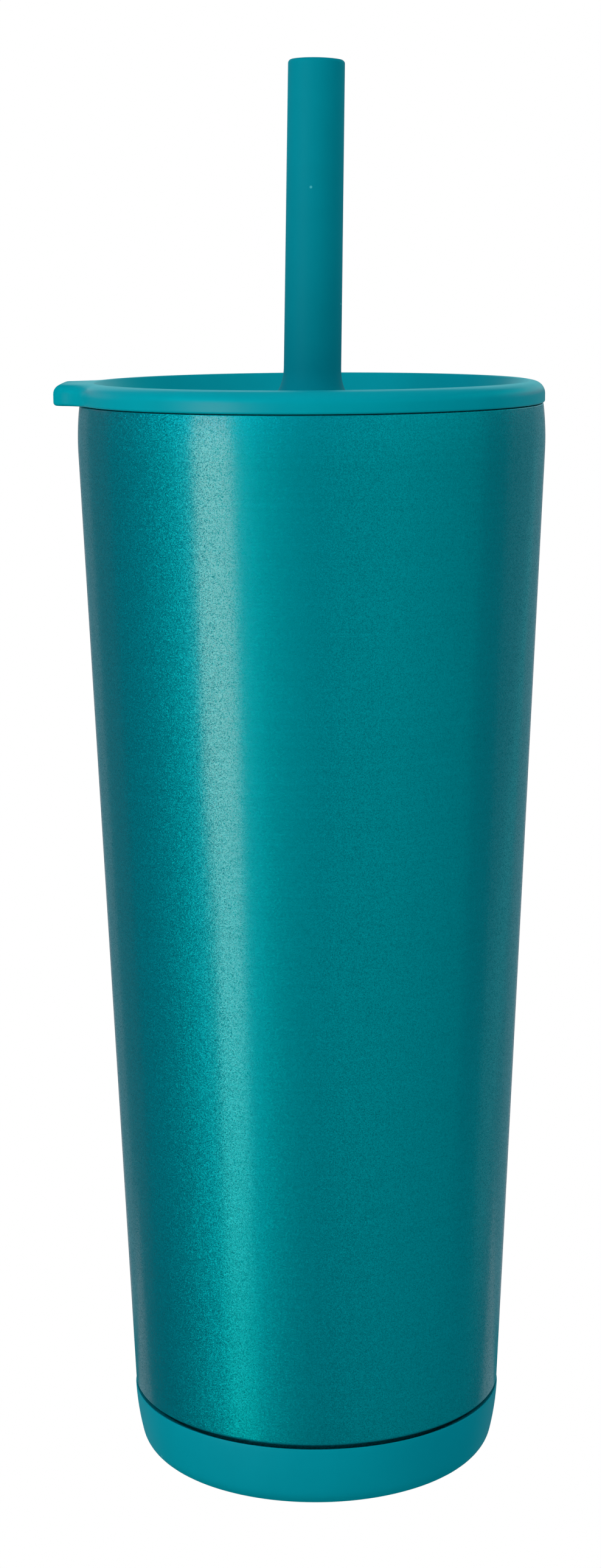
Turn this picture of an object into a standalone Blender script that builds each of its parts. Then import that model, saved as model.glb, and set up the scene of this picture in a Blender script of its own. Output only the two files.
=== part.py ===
"""Insulated straw tumbler: a double-walled steel cup, a soft lid with a pull tab, and a straw.

The frame is in metres, +Z up, with the origin at the centre of the boot's underside. The pull tab
points along -X. Three empties on the cup's axis hold the three bodies: cup, lid and straw. The lid
lifts along +Z from its seam with the cup, and the straw pulls along +Z out of the lid.
"""

import math

import bmesh
import bpy
import numpy as np

# Gap between neighbours that touch or are joined on the real object.
GAP = 0.0003
SEGMENTS = 48
TUBE_SEGMENTS = 24
SHARP_ANGLE = math.radians(32.0)
MERGE = 0.00001

# Cup: outer wall. Its upper part is slightly crowned and runs into a straight cone.
MOUTH_HEIGHT = 0.1973
SHELL_RADIUS = 0.04203
WIDEST_DROP = 0.0065
CROWN = 9.8
TAPER = 0.0427
STEEL = 0.0006
LIP_DROP = 0.0003
LIP_EDGE = 0.0003

# Cup: double wall and its vacuum space.
DOUBLE_WALL = 0.0033
FLOOR_HEIGHT = 0.0080
LINER_CORNER = 0.0080
LINER_LIP_RADIUS = 0.04075
LINER_LIP_CORNER = 0.0016
FOIL = 0.0003
FOIL_SPAN = (0.022, 0.178)

# Cup: foot and boot.
BOOT_HEIGHT = 0.0124
BOOT_RADIUS = 0.0346
BOOT_WALL = 0.0020
BOOT_FLOOR = 0.0020
BOOT_CORNER = 0.0040
BOOT_BULGE = 10.5
FOOT_END = 0.0040
BASE_UNDERSIDE = 0.0031
BASE_CORNER = 0.0010
BASE_FLANGE = 0.0058
DIMPLE_RADIUS = 0.0050
DIMPLE_DEPTH = 0.0016
EVACUATION_HOLE = 0.0008
BEAD_RADIUS = 0.0020
BEAD_SQUASH = 0.3
COVER_DISC_RADIUS = 0.0080
COVER_DISC = 0.0004
ADHESIVE = 0.0005
ADHESIVE_RADIUS = 0.0290
GETTER_OFFSET = 0.0140
GETTER_RADIUS = 0.0035
GETTER_HEIGHT = 0.0018
STRAP_WIDTH = 0.0030
STRAP_FOOT = 0.0028

# Lid: heights are counted from the seam, the plane where the rim meets the cup's mouth.
RIM_RADIUS = 0.0419
RIM_HEIGHT = 0.0043
RIM_WIDTH = 0.0036
RIM_ROUNDING = 0.0020
RIM_EDGE = 0.0006
RIM_SLOPE = math.radians(20.0)
DISH_FLOOR = 0.0003
DISH_CORNER = 0.0016
WEB = 0.0020
SKIRT_RADIUS = 0.0383
SKIRT_WALL = 0.0020
SKIRT_DEPTH = 0.0050
TAB_REACH = 0.04625
TAB_HALF_WIDTH = 0.0092
TAB_CORNER = 0.0036
TAB_ROOT = 0.0022
TAB_EDGE = 0.0009
TAB_UNDERSIDE = 0.0001
PLUG_RADIUS = 0.0376
PLUG_WALL = 0.0026
PLUG_FLANGE = 0.0020
PLUG_DEPTH = 0.0163
GROOVE_DEPTH = 0.0022
GASKET_BODY = 0.0012
GASKET_FIN = 0.0010

# Straw: heights are counted from the underside of the spout's foot.
SPOUT_LENGTH = 0.0596
SPOUT_TOP_RADIUS = 0.00502
SPOUT_LOW_RADIUS = 0.00516
SPOUT_EDGE = 0.0008
FLARE_RADIUS = 0.0078
FLARE_EDGE = 0.0003
SOCKET_DEPTH = 0.0180
TUBE_RADIUS = 0.0040
BORE_RADIUS = 0.0033
TUBE_END_HEIGHT = 0.0135
NOTCH_WIDTH = 0.0030
NOTCH_HEIGHT = 0.0040

PAINTED_TEAL = (0.0, 0.25, 0.28)
SOFT_TEAL = (0.0, 0.24, 0.29)
CLEAR_TEAL = (0.03, 0.28, 0.33)
BARE_STEEL = (0.62, 0.62, 0.61)
COPPER_FOIL = (0.72, 0.42, 0.28)
GETTER_GREY = (0.20, 0.20, 0.21)
SOLDER = (0.55, 0.55, 0.57)
GLUE = (0.75, 0.73, 0.66)
GASKET_WHITE = (0.78, 0.80, 0.80)


def clear_scene():
    """Removes whatever the scene holds."""
    for thing in list(bpy.data.objects):
        bpy.data.objects.remove(thing, do_unlink=True)


def collection(name):
    """A new collection in the scene."""
    made = bpy.data.collections.new(name)
    bpy.context.scene.collection.children.link(made)
    return made


def material(name, colour, roughness, metallic=0.0):
    """A Principled material of one colour."""
    made = bpy.data.materials.new(name)
    made.use_nodes = True
    shader = made.node_tree.nodes["Principled BSDF"]
    shader.inputs["Base Color"].default_value = (*colour, 1.0)
    shader.inputs["Roughness"].default_value = roughness
    shader.inputs["Metallic"].default_value = metallic
    made.diffuse_color = (*colour, 1.0)
    return made


def painted_steel():
    return material("painted_steel", PAINTED_TEAL, 0.32, 0.6)


def bare_steel():
    return material("bare_steel", BARE_STEEL, 0.30, 1.0)


def silicone(name):
    return material(name, SOFT_TEAL, 0.55)


def arc(centre, radius, start, end, steps):
    """Points on a circle in the (radius, height) plane, from one angle to another in degrees."""
    angles = np.radians(np.linspace(start, end, steps + 1))
    return [(centre[0] + radius * math.cos(a), centre[1] + radius * math.sin(a)) for a in angles]


def axis_empty(name, height, parent=None):
    """An empty on the cup's axis, at a height above its parent."""
    made = bpy.data.objects.new(name, None)
    made.empty_display_size = SHELL_RADIUS
    made.location = (0.0, 0.0, height)
    made.parent = parent
    PARTS.objects.link(made)
    return made


def place(piece, parent, finish, group):
    """Puts a piece in its collection, under its body's empty, with its material."""
    piece.parent = parent
    piece.data.materials.clear()
    piece.data.materials.append(finish)
    for owner in list(piece.users_collection):
        owner.objects.unlink(piece)
    group.objects.link(piece)


def settle(piece):
    """Applies the piece's modifiers, and shades it smooth between its sharp edges."""
    bpy.context.view_layer.update()
    graph = bpy.context.evaluated_depsgraph_get()
    mesh = bpy.data.meshes.new_from_object(piece.evaluated_get(graph))
    mesh.name = piece.name
    piece.modifiers.clear()
    piece.data = mesh
    mesh.shade_smooth()
    mesh.set_sharp_from_angle(angle=SHARP_ANGLE)


def turned(name, profile, parent, finish, segments=SEGMENTS):
    """Turns a profile of (radius, height) points about the axis.

    The profile runs down its outer side. A profile that starts and ends on the axis stays open,
    and any other is closed into a ring.
    """
    points = [(radius, 0.0, height) for radius, height in profile]
    edges = [(i, i + 1) for i in range(len(points) - 1)]
    if profile[0][0] > 0.0:
        edges.append((len(points) - 1, 0))
    mesh = bpy.data.meshes.new(name)
    mesh.from_pydata(points, edges, [])
    piece = bpy.data.objects.new(name, mesh)
    place(piece, parent, finish, PARTS)
    screw = piece.modifiers.new("turn", "SCREW")
    screw.axis = "Z"
    screw.angle = math.tau
    screw.steps = segments
    screw.render_steps = segments
    screw.use_merge_vertices = True
    screw.merge_threshold = MERGE
    settle(piece)
    return piece


def as_cutter(piece):
    """Makes a piece a cutter: drawn as wire, and left out of the model."""
    piece.hide_render = True
    piece.display_type = "WIRE"
    for owner in list(piece.users_collection):
        owner.objects.unlink(piece)
    CUTTERS.objects.link(piece)


def combine(piece, other, operation):
    """Joins or cuts a piece with another closed mesh."""
    boolean = piece.modifiers.new(operation.lower(), "BOOLEAN")
    boolean.operation = operation
    boolean.solver = "EXACT"
    boolean.object = other
    settle(piece)


def shell_radius(height):
    """Outer radius of the painted wall: a shallow crown that runs into a straight cone."""
    below = MOUTH_HEIGHT - WIDEST_DROP - height
    tangent = TAPER / (2.0 * CROWN)
    if below <= tangent:
        return SHELL_RADIUS - CROWN * below**2
    return SHELL_RADIUS - CROWN * tangent**2 - TAPER * (below - tangent)


def crown_heights(steps):
    """Heights down the crowned stretch, from just under the lip to where the cone starts."""
    top = MOUTH_HEIGHT - LIP_DROP - LIP_EDGE
    cone_start = MOUTH_HEIGHT - WIDEST_DROP - TAPER / (2.0 * CROWN)
    return list(np.linspace(top, cone_start, steps))


def boot_radius(height):
    """Outer radius of the boot's side, which curves in faster and faster towards the floor."""
    down = BOOT_HEIGHT - height
    return BOOT_RADIUS - TAPER * down - BOOT_BULGE * down**2


def make_outer_shell(cup, finish):
    """Outer wall, stepped in at the foot for the boot."""
    crown = crown_heights(5)
    step = BOOT_HEIGHT + GAP
    foot_radius = shell_radius(step) - BOOT_WALL - GAP
    outer = [(shell_radius(crown[0]) - LIP_EDGE, crown[0] + LIP_EDGE)]
    outer += [(shell_radius(height), height) for height in crown]
    outer += [(shell_radius(step), step), (foot_radius, step), (foot_radius, FOOT_END)]
    inner = [
        (foot_radius - STEEL, FOOT_END),
        (foot_radius - STEEL, step + STEEL),
        (shell_radius(step) - STEEL, step + STEEL),
    ]
    inner += [(shell_radius(height) - STEEL, height) for height in reversed(crown)]
    inner += [(shell_radius(crown[0]) - STEEL, crown[0] + LIP_EDGE)]
    return turned("outer_shell", outer + inner, cup, finish)


def make_inner_liner(cup, finish):
    """Drink vessel: round-cornered floor, tapered wall, and a lip turned out towards the shell."""
    lip = MOUTH_HEIGHT - LIP_DROP
    lip_centre = lip - LINER_LIP_CORNER
    corner = FLOOR_HEIGHT + STEEL + LINER_CORNER
    neck = shell_radius(lip_centre) - DOUBLE_WALL
    low = shell_radius(corner) - DOUBLE_WALL
    cone_start = crown_heights(2)[1]
    mid = shell_radius(cone_start) - DOUBLE_WALL
    inside = [(0.0, FLOOR_HEIGHT + STEEL)]
    inside += arc((low - LINER_CORNER, corner), LINER_CORNER, -90, 0, 4)
    inside += [(mid, cone_start)]
    inside += arc((neck + LINER_LIP_CORNER, lip_centre), LINER_LIP_CORNER, 180, 90, 3)
    under = LINER_LIP_CORNER - STEEL
    outside = [(LINER_LIP_RADIUS, lip), (LINER_LIP_RADIUS, lip - STEEL)]
    outside += arc((neck + LINER_LIP_CORNER, lip_centre), under, 90, 180, 2)
    outside += [(mid + STEEL, cone_start)]
    outside += arc((low - LINER_CORNER, corner), LINER_CORNER + STEEL, 0, -90, 4)
    outside += [(0.0, FLOOR_HEIGHT)]
    return turned("inner_liner", inside + outside, cup, finish)


def make_outer_base(cup, finish):
    """End cup of the outer wall, with an upturned flange and an evacuation dimple at its centre."""
    radius = shell_radius(BOOT_HEIGHT + GAP) - BOOT_WALL - STEEL - 2.0 * GAP
    top = BASE_UNDERSIDE + BASE_FLANGE
    roof = BASE_UNDERSIDE + DIMPLE_DEPTH
    corner = (radius - BASE_CORNER, BASE_UNDERSIDE + BASE_CORNER)
    profile = [(radius, top)]
    profile += arc(corner, BASE_CORNER, 0, -90, 2)
    profile += [
        (DIMPLE_RADIUS + STEEL, BASE_UNDERSIDE),
        (DIMPLE_RADIUS - STEEL, roof),
        (EVACUATION_HOLE, roof),
        (EVACUATION_HOLE, roof + STEEL),
        (DIMPLE_RADIUS, roof + STEEL),
        (DIMPLE_RADIUS + 2.0 * STEEL, BASE_UNDERSIDE + STEEL),
        (corner[0], BASE_UNDERSIDE + STEEL),
        (radius - STEEL, corner[1]),
        (radius - STEEL, top),
    ]
    return turned("outer_base", profile, cup, finish)


def make_radiation_foil(cup, finish):
    """Foil sleeve in the middle of the vacuum space."""
    low, high = FOIL_SPAN
    middle = (DOUBLE_WALL + FOIL) / 2.0
    profile = [
        (shell_radius(high) - middle + FOIL, high),
        (shell_radius(low) - middle + FOIL, low),
        (shell_radius(low) - middle, low),
        (shell_radius(high) - middle, high),
    ]
    return turned("radiation_foil", profile, cup, finish)


def disc(name, radius, thickness, location, parent, finish):
    """A flat round piece, standing on its location."""
    bpy.ops.mesh.primitive_cylinder_add(vertices=TUBE_SEGMENTS, radius=radius, depth=thickness)
    piece = bpy.context.object
    piece.name = name
    piece.location = (location[0], location[1], location[2] + thickness / 2.0)
    place(piece, parent, finish, PARTS)
    settle(piece)
    return piece


def make_getter_pellet(cup, finish):
    """Gas-absorbing pill on the inside of the base."""
    height = BASE_UNDERSIDE + STEEL + GAP
    return disc("getter_pellet", GETTER_RADIUS, GETTER_HEIGHT, (GETTER_OFFSET, 0.0, height), cup, finish)


def make_getter_strap(cup, finish):
    """Thin metal strap bent over the pill, with a foot on each side."""
    bridge = GETTER_HEIGHT + GAP + FOIL
    leg = GETTER_RADIUS + GAP + FOIL
    side = [(-leg - STRAP_FOOT, FOIL), (-leg, FOIL), (-leg, bridge + FOIL)]
    line = side + [(-x, z) for x, z in reversed(side)]
    strip = bmesh.new()
    rows = [
        [strip.verts.new((x, y, z)) for y in (-STRAP_WIDTH / 2.0, STRAP_WIDTH / 2.0)]
        for x, z in line
    ]
    for near, far in zip(rows, rows[1:]):
        strip.faces.new((near[0], far[0], far[1], near[1]))
    mesh = bpy.data.meshes.new("getter_strap")
    strip.to_mesh(mesh)
    strip.free()
    strap = bpy.data.objects.new("getter_strap", mesh)
    strap.location = (GETTER_OFFSET, 0.0, BASE_UNDERSIDE + STEEL + GAP)
    place(strap, cup, finish, PARTS)
    thick = strap.modifiers.new("thickness", "SOLIDIFY")
    thick.thickness = FOIL
    thick.offset = -1.0
    thick.use_even_offset = True
    settle(strap)
    return strap


def make_vacuum_seal_bead(cup, finish):
    """Squashed solder bead in the dimple, over the evacuation hole."""
    bpy.ops.mesh.primitive_uv_sphere_add(segments=16, ring_count=6, radius=BEAD_RADIUS)
    bead = bpy.context.object
    bead.name = "vacuum_seal_bead"
    bead.data.transform(((1, 0, 0, 0), (0, 1, 0, 0), (0, 0, BEAD_SQUASH, 0), (0, 0, 0, 1)))
    roof = BASE_UNDERSIDE + DIMPLE_DEPTH
    bead.location = (0.0, 0.0, roof - GAP - BEAD_RADIUS * BEAD_SQUASH)
    place(bead, cup, finish, PARTS)
    settle(bead)
    return bead


def make_seal_cover_disc(cup, finish):
    """Thin disc that covers the dimple."""
    height = BOOT_FLOOR + GAP
    return disc("seal_cover_disc", COVER_DISC_RADIUS, COVER_DISC, (0.0, 0.0, height), cup, finish)


def make_boot_adhesive(cup, finish):
    """Ring of adhesive between the boot's floor and the base."""
    low = BOOT_FLOOR + GAP
    hole = COVER_DISC_RADIUS + 2.0 * GAP
    profile = [
        (ADHESIVE_RADIUS, low + ADHESIVE),
        (ADHESIVE_RADIUS, low),
        (hole, low),
        (hole, low + ADHESIVE),
    ]
    return turned("boot_adhesive", profile, cup, finish)


def make_base_boot(cup, finish):
    """Soft boot around the foot, flat underneath."""
    inner = shell_radius(BOOT_HEIGHT + GAP) - BOOT_WALL
    corner_radius = boot_radius(BOOT_CORNER) - BOOT_CORNER
    profile = [
        (0.0, BOOT_FLOOR),
        (inner - BOOT_FLOOR * 0.75, BOOT_FLOOR),
        (inner, BOOT_FLOOR * 1.75),
        (inner, BOOT_HEIGHT),
        (BOOT_RADIUS - GAP, BOOT_HEIGHT),
    ]
    side = np.linspace(BOOT_HEIGHT - GAP, BOOT_CORNER, 5)
    profile += [(boot_radius(height), height) for height in side[:-1]]
    profile += arc((corner_radius, BOOT_CORNER), BOOT_CORNER, 0, -90, 5)
    profile += [(0.0, 0.0)]
    return turned("base_boot", profile, cup, finish)


def rim_profile():
    """Lid cover's section, starting at the rim's crest and running down its outer side."""
    inner = RIM_RADIUS - RIM_WIDTH
    crest = inner + RIM_WIDTH / 4.0
    rounding = (RIM_RADIUS - RIM_ROUNDING, RIM_HEIGHT / 2.0 - GAP)
    hole = TUBE_RADIUS + GAP
    profile = [(crest, RIM_HEIGHT)]
    profile += arc(rounding, RIM_ROUNDING, 90 - math.degrees(RIM_SLOPE), 0, 4)
    profile += arc((RIM_RADIUS - RIM_EDGE, RIM_EDGE), RIM_EDGE, 0, -90, 2)
    profile += [
        (SKIRT_RADIUS, 0.0),
        (SKIRT_RADIUS, -SKIRT_DEPTH),
        (SKIRT_RADIUS - SKIRT_WALL, -SKIRT_DEPTH),
        (SKIRT_RADIUS - SKIRT_WALL, DISH_FLOOR - WEB),
        (hole, DISH_FLOOR - WEB),
        (hole, DISH_FLOOR),
    ]
    dish = (inner - GAP - DISH_CORNER, DISH_FLOOR + DISH_CORNER)
    profile += arc(dish, DISH_CORNER, -90, 0, 3)
    profile += [(inner, RIM_HEIGHT - 2.0 * RIM_EDGE), (inner + RIM_EDGE / 2.0, RIM_HEIGHT - RIM_EDGE / 3.0)]
    return profile


def tab_outline():
    """Plan of the pull tab on -X: a blunt tongue whose roots flow into the rim."""
    root_y = TAB_HALF_WIDTH + TAB_ROOT
    root_x = -math.sqrt((RIM_RADIUS + TAB_ROOT) ** 2 - root_y**2)
    corner = (TAB_CORNER - TAB_REACH, TAB_HALF_WIDTH - TAB_CORNER)
    touch = math.degrees(math.atan2(-root_y, -root_x))
    inner = RIM_RADIUS - RIM_WIDTH * 0.8
    spread = math.degrees(math.asin(root_y / RIM_RADIUS))
    half = arc((0.0, 0.0), inner, 180, 180 - spread, 4)
    half += arc((root_x, root_y), TAB_ROOT, touch, -90, 3)
    half += arc(corner, TAB_CORNER, 90, 180, 5)
    return half + [(x, -y) for x, y in reversed(half[1:])]


def make_pull_tab():
    """The tab as a closed slab with rounded edges, ready to join to the lid cover."""
    slab = bmesh.new()
    low = TAB_UNDERSIDE
    face = slab.faces.new([slab.verts.new((x, y, low)) for x, y in tab_outline()])
    raised = bmesh.ops.extrude_face_region(slab, geom=[face])
    tops = [item for item in raised["geom"] if isinstance(item, bmesh.types.BMVert)]
    bmesh.ops.translate(slab, verts=tops, vec=(0.0, 0.0, RIM_HEIGHT - low - GAP / 3.0))
    bmesh.ops.recalc_face_normals(slab, faces=slab.faces)
    mesh = bpy.data.meshes.new("pull_tab")
    slab.to_mesh(mesh)
    slab.free()
    tab = bpy.data.objects.new("pull_tab", mesh)
    bpy.context.scene.collection.objects.link(tab)
    rounded = tab.modifiers.new("rounded", "BEVEL")
    rounded.width = TAB_EDGE
    rounded.segments = 2
    rounded.limit_method = "ANGLE"
    rounded.angle_limit = math.radians(60.0)
    settle(tab)
    return tab


def make_lid_cover(lid, finish):
    """Soft cover: rim, dish, skirt, straw hole and pull tab in one piece."""
    cover = turned("lid_cover", rim_profile(), lid, finish)
    tab = make_pull_tab()
    tab.parent = lid
    combine(cover, tab, "UNION")
    as_cutter(tab)
    return cover


def make_lid_insert(lid, finish):
    """Stiff plug under the cover, open at the bottom, with a groove for its gasket."""
    top = DISH_FLOOR - WEB - GAP
    upper = SKIRT_RADIUS - SKIRT_WALL - GAP
    shoulder = -SKIRT_DEPTH - GAP
    inner = upper - PLUG_WALL
    groove = PLUG_RADIUS - GROOVE_DEPTH
    hole = TUBE_RADIUS + GAP
    profile = [
        (upper, top),
        (upper, shoulder),
        (PLUG_RADIUS, shoulder),
        (PLUG_RADIUS, shoulder - PLUG_FLANGE),
        (groove, shoulder - PLUG_FLANGE),
        (groove, PLUG_FLANGE - PLUG_DEPTH),
        (PLUG_RADIUS, PLUG_FLANGE - PLUG_DEPTH),
        (PLUG_RADIUS, -PLUG_DEPTH),
        (inner, -PLUG_DEPTH),
        (inner, top - PLUG_FLANGE),
        (hole, top - PLUG_FLANGE),
        (hole, top),
    ]
    return turned("lid_insert", profile, lid, finish)


def make_lid_gasket(lid, finish):
    """Sealing ring in the plug's groove, with two wiping fins."""
    top = -SKIRT_DEPTH - PLUG_FLANGE - 2.0 * GAP
    bottom = PLUG_FLANGE - PLUG_DEPTH + GAP
    inner = PLUG_RADIUS - GROOVE_DEPTH + GAP
    outer = inner + GASKET_BODY
    fin = (top - bottom) / 4.0
    profile = [(outer, top)]
    for middle in (top - fin, bottom + fin):
        profile += [
            (outer, middle + fin / 2.0),
            (outer + GASKET_FIN, middle + fin / 5.0),
            (outer + GASKET_FIN, middle - fin / 5.0),
            (outer, middle - fin / 2.0),
        ]
    profile += [(outer, bottom), (inner, bottom), (inner, top)]
    return turned("lid_gasket", profile, lid, finish)


def flare_profile(steps):
    """The spout's outer side near its foot: a concave quarter that widens down to the dish."""
    reach = FLARE_RADIUS - SPOUT_LOW_RADIUS
    rise = 2.0 * reach
    angles = np.linspace(0.0, math.pi / 2.0, steps + 1)
    return [
        (FLARE_RADIUS - reach * math.sin(a), FLARE_EDGE + rise * (1.0 - math.cos(a)))
        for a in reversed(angles)
    ]


def make_straw_spout(straw, finish):
    """Soft mouth tube: rounded tip, plain bore, flared foot and a socket for the stiff tube."""
    tip = SPOUT_LENGTH - SPOUT_EDGE
    socket = TUBE_RADIUS + GAP
    profile = arc((SPOUT_TOP_RADIUS - SPOUT_EDGE, tip), SPOUT_EDGE, 90, 0, 3)
    profile += flare_profile(5)
    profile += [
        (FLARE_RADIUS, 0.0),
        (socket, 0.0),
        (socket, SOCKET_DEPTH),
        (BORE_RADIUS, SOCKET_DEPTH),
        (BORE_RADIUS, SPOUT_LENGTH - GAP),
        (BORE_RADIUS + GAP, SPOUT_LENGTH),
    ]
    return turned("straw_spout", profile, straw, finish, TUBE_SEGMENTS)


def make_straw_tube(straw, finish):
    """Stiff tube from inside the spout down to the cup's floor, with a notched lower end."""
    foot = MOUTH_HEIGHT + DISH_FLOOR + GAP
    low = TUBE_END_HEIGHT - foot
    top = SOCKET_DEPTH - GAP
    profile = [(TUBE_RADIUS, top), (TUBE_RADIUS, low), (BORE_RADIUS, low), (BORE_RADIUS, top)]
    tube = turned("straw_tube", profile, straw, finish, TUBE_SEGMENTS)
    bpy.ops.mesh.primitive_cube_add(size=1.0)
    notch = bpy.context.object
    notch.name = "tube_notch"
    notch.scale = (4.0 * TUBE_RADIUS, NOTCH_WIDTH, 2.0 * NOTCH_HEIGHT)
    bpy.ops.object.transform_apply(location=False, rotation=False, scale=True)
    notch.location = (0.0, 0.0, low)
    notch.parent = straw
    as_cutter(notch)
    combine(tube, notch, "DIFFERENCE")
    return tube


clear_scene()
PARTS = collection("straw_tumbler")
CUTTERS = collection("cutters")


def main():
    cup = axis_empty("cup_axis", 0.0)
    lid = axis_empty("lid_lift_axis", MOUTH_HEIGHT, cup)
    straw = axis_empty("straw_pull_axis", DISH_FLOOR + GAP, lid)

    steel = bare_steel()
    make_outer_shell(cup, painted_steel())
    make_inner_liner(cup, steel)
    make_outer_base(cup, steel)
    make_radiation_foil(cup, material("foil", COPPER_FOIL, 0.25, 1.0))
    make_getter_pellet(cup, material("getter", GETTER_GREY, 0.7))
    make_getter_strap(cup, steel)
    make_vacuum_seal_bead(cup, material("solder", SOLDER, 0.35, 1.0))
    make_seal_cover_disc(cup, steel)
    make_boot_adhesive(cup, material("adhesive", GLUE, 0.6))
    make_base_boot(cup, silicone("boot_silicone"))

    make_lid_cover(lid, silicone("lid_silicone"))
    make_lid_insert(lid, material("lid_plastic", CLEAR_TEAL, 0.4))
    make_lid_gasket(lid, material("gasket_silicone", GASKET_WHITE, 0.5))

    make_straw_spout(straw, silicone("spout_silicone"))
    make_straw_tube(straw, material("tube_plastic", CLEAR_TEAL, 0.3))


main()
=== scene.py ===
import math

import bmesh
import bpy
import numpy as np
from mathutils import Matrix, Vector


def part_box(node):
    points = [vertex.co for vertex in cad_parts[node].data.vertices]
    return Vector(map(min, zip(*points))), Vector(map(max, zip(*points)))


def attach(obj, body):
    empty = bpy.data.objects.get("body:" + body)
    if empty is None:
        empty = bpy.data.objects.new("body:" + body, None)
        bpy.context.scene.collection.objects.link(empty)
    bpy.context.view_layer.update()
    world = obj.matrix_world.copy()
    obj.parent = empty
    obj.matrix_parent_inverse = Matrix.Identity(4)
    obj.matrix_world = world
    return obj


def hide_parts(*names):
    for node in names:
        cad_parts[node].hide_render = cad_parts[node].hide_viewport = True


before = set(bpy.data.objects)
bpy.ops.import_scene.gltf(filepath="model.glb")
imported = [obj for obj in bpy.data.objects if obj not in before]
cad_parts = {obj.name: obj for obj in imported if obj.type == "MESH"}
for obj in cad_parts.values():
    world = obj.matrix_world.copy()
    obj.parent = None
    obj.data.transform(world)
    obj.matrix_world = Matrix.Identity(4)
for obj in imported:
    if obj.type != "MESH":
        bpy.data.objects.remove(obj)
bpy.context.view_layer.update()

MM = 0.001
GAP = 0.3 * MM

# Places and sizes read from the frame.
SHELL_LOW, SHELL_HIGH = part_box("outer_shell")
LINER_LOW, LINER_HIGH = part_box("inner_liner")
_, BOOT_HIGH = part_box("base_boot")
COVER_LOW, COVER_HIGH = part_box("lid_cover")
PLUG_LOW, PLUG_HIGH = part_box("lid_insert")
GASKET_LOW, GASKET_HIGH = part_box("lid_gasket")
SPOUT_LOW, SPOUT_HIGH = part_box("straw_spout")
TUBE_LOW, TUBE_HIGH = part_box("straw_tube")
SEAM = SHELL_HIGH.z + GAP
SEAM_LINE = SEAM + 0.04 * MM

# Cup: a shallow crown under the lip runs into a straight cone.
BODY_RADIUS = SHELL_HIGH.x
WIDEST_DROP = 6.5 * MM
CROWN = 9.8
TAPER = 0.0427
CROWN_DEPTH = 12.0 * MM
STEEL = 0.6 * MM
SHELL_TOP = SEAM_LINE - 0.14 * MM
SHELL_FOOT = BOOT_HIGH.z + 0.25 * MM
SHELL_ROLL = 0.75 * MM
LIP_EDGE = 0.2 * MM
DOUBLE_WALL = 3.3 * MM
LINER_CORNER = 8.0 * MM
LINER_LIP = 1.6 * MM
LINER_DOME = 0.9 * MM
LINER_DOME_RADIUS = 12.0 * MM
BOOT_WALL = 2.0 * MM
BOOT_FLOOR = 2.0 * MM
BOOT_CORNER = 4.4 * MM
BOOT_INNER_CORNER = 1.5 * MM
BOOT_TOP = BOOT_HIGH.z - 0.2 * MM
BOOT_EDGE = 0.15 * MM
BOOT_DIP = 1.0 * MM
BOOT_BULGE = 10.5
GRIP_RINGS = (26.0 * MM, 23.5 * MM, 21.0 * MM)
GRIP_HALF_WIDTH = 0.6 * MM
GRIP_HALF_FLOOR = 0.4 * MM
GRIP_DEPTH = 0.35 * MM

# Lid: rim, dish and tab.
RIM_RADIUS = COVER_HIGH.x
RIM_TOP = COVER_HIGH.z - 0.4 * MM
RIM_ROUNDING = 2.2 * MM
RIM_RISE = 1.6 * MM
RIM_SLOPE = 11.0
RIM_EDGE = 0.4 * MM
CREST_OUTER = 0.9 * MM
CREST_INNER = 0.5 * MM
DISH_FLOOR = 0.3 * MM
DISH_SLOPE = 58.0
DISH_CORNER = 1.7 * MM
WEB = 2.0 * MM
COVER_SKIRT = 38.3 * MM
SKIRT_STEP = 2.0 * MM
SKIRT_EDGE = 0.5 * MM
SKIRT_CORNER = 0.3 * MM
SOFT_EDGE = 0.2 * MM
STRAW_HOLE = 4.3 * MM
TAB_REACH = -COVER_LOW.x - 0.42 * MM
TAB_HALF_WIDTH = 9.2 * MM
TAB_CORNER = 2.7 * MM
TAB_ROOT = 7.0 * MM
TAB_ROUNDING = 1.75 * MM
TAB_EDGE = 0.6 * MM
TAB_DROP = 0.045 * MM
TAB_EASE = 0.75
TAB_MATT = (-44.5 * MM, -40.5 * MM)

# Lid: plug and gasket.
PLUG_NECK = 36.0 * MM
PLUG_SHOULDER = SEAM - 5.3 * MM
PLUG_FLANGE = 2.0 * MM
PLUG_WALL = 2.6 * MM
PLUG_EDGE = 0.35 * MM
PLUG_FOOT_EDGE = 0.7 * MM
PLUG_INNER_CORNER = 1.2 * MM
GROOVE_DEPTH = 2.2 * MM
GASKET_DEPTH = 2.2 * MM
GASKET_BAND = 1.2 * MM
GASKET_EDGE = 0.25 * MM

# Straw: the soft spout leans a little towards +X, as soft tubes do.
LEAN = 0.0184
LEAN_START = 0.14 * MM
LEAN_EASE = 6.0 * MM
SPOUT_TOP_RADIUS = 5.02 * MM
SPOUT_LOW_RADIUS = 5.16 * MM
SPOUT_EDGE = 0.68 * MM
TIP_DEPTH = 3.0 * MM
TIP_SINK = 0.12 * MM
TIP_PEAK = -0.45
TIP_DROP = 0.22 * MM
TIP_INNER_EDGE = 0.5 * MM
FLARE_LIFT = 0.3 * MM
BORE_RADIUS = 3.3 * MM
SOCKET_DEPTH = 18.0 * MM
TUBE_EDGE = 0.25 * MM
NOTCH_SIZE = (16.0 * MM, 3.0 * MM, 8.0 * MM)

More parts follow.
